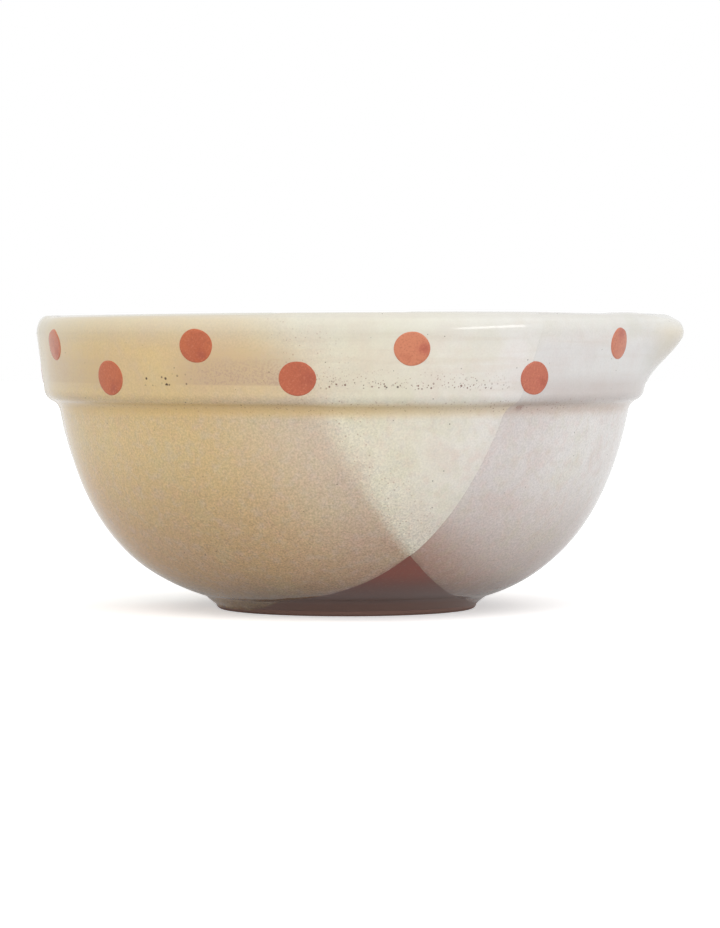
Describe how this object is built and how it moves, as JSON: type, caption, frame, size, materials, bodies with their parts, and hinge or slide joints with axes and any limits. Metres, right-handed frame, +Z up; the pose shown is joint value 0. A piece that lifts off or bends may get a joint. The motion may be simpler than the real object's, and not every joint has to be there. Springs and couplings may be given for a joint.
{
  "type": "condiment bowl",
  "caption": "Round earthenware bowl with a turned foot, a broad collar and a pulled pouring lip, dipped in overlapping coats of cream slip and dotted round the collar.",
  "frame": {"origin": "on the table, at the middle of what the bowl and its lip cover; the turning axis stands 3.85 mm from it towards -X", "axes": "+Z up along the turning axis, +X towards the pouring lip"},
  "size_m": [0.1474, 0.1397, 0.0675],
  "materials": {
    "red_earthenware": "red-brown fired clay under a thin clear glaze, the foot's resting ring unglazed",
    "right_slip": "thin cream slip over red clay, mauve-grey, clear gloss glaze",
    "back_slip": "thin cream slip over red clay, clear gloss glaze",
    "left_slip": "cream slip, warm straw colour, finely speckled, clear gloss glaze",
    "dot_slip": "clay-red slip dabs under the clear gloss glaze"
  },
  "bodies": {
    "root": {"clay_body": "red_earthenware", "right_slip_coat": "right_slip", "back_slip_coat": "back_slip", "left_slip_coat": "left_slip", "rim_dot_01": "dot_slip", "rim_dot_02": "dot_slip", "rim_dot_03": "dot_slip", "rim_dot_04": "dot_slip", "rim_dot_05": "dot_slip", "rim_dot_06": "dot_slip", "rim_dot_07": "dot_slip", "rim_dot_08": "dot_slip", "rim_dot_09": "dot_slip", "rim_dot_10": "dot_slip", "rim_dot_11": "dot_slip", "rim_dot_12": "dot_slip", "rim_dot_13": "dot_slip", "rim_dot_14": "dot_slip", "rim_dot_15": "dot_slip"}
  },
  "joints": []
}
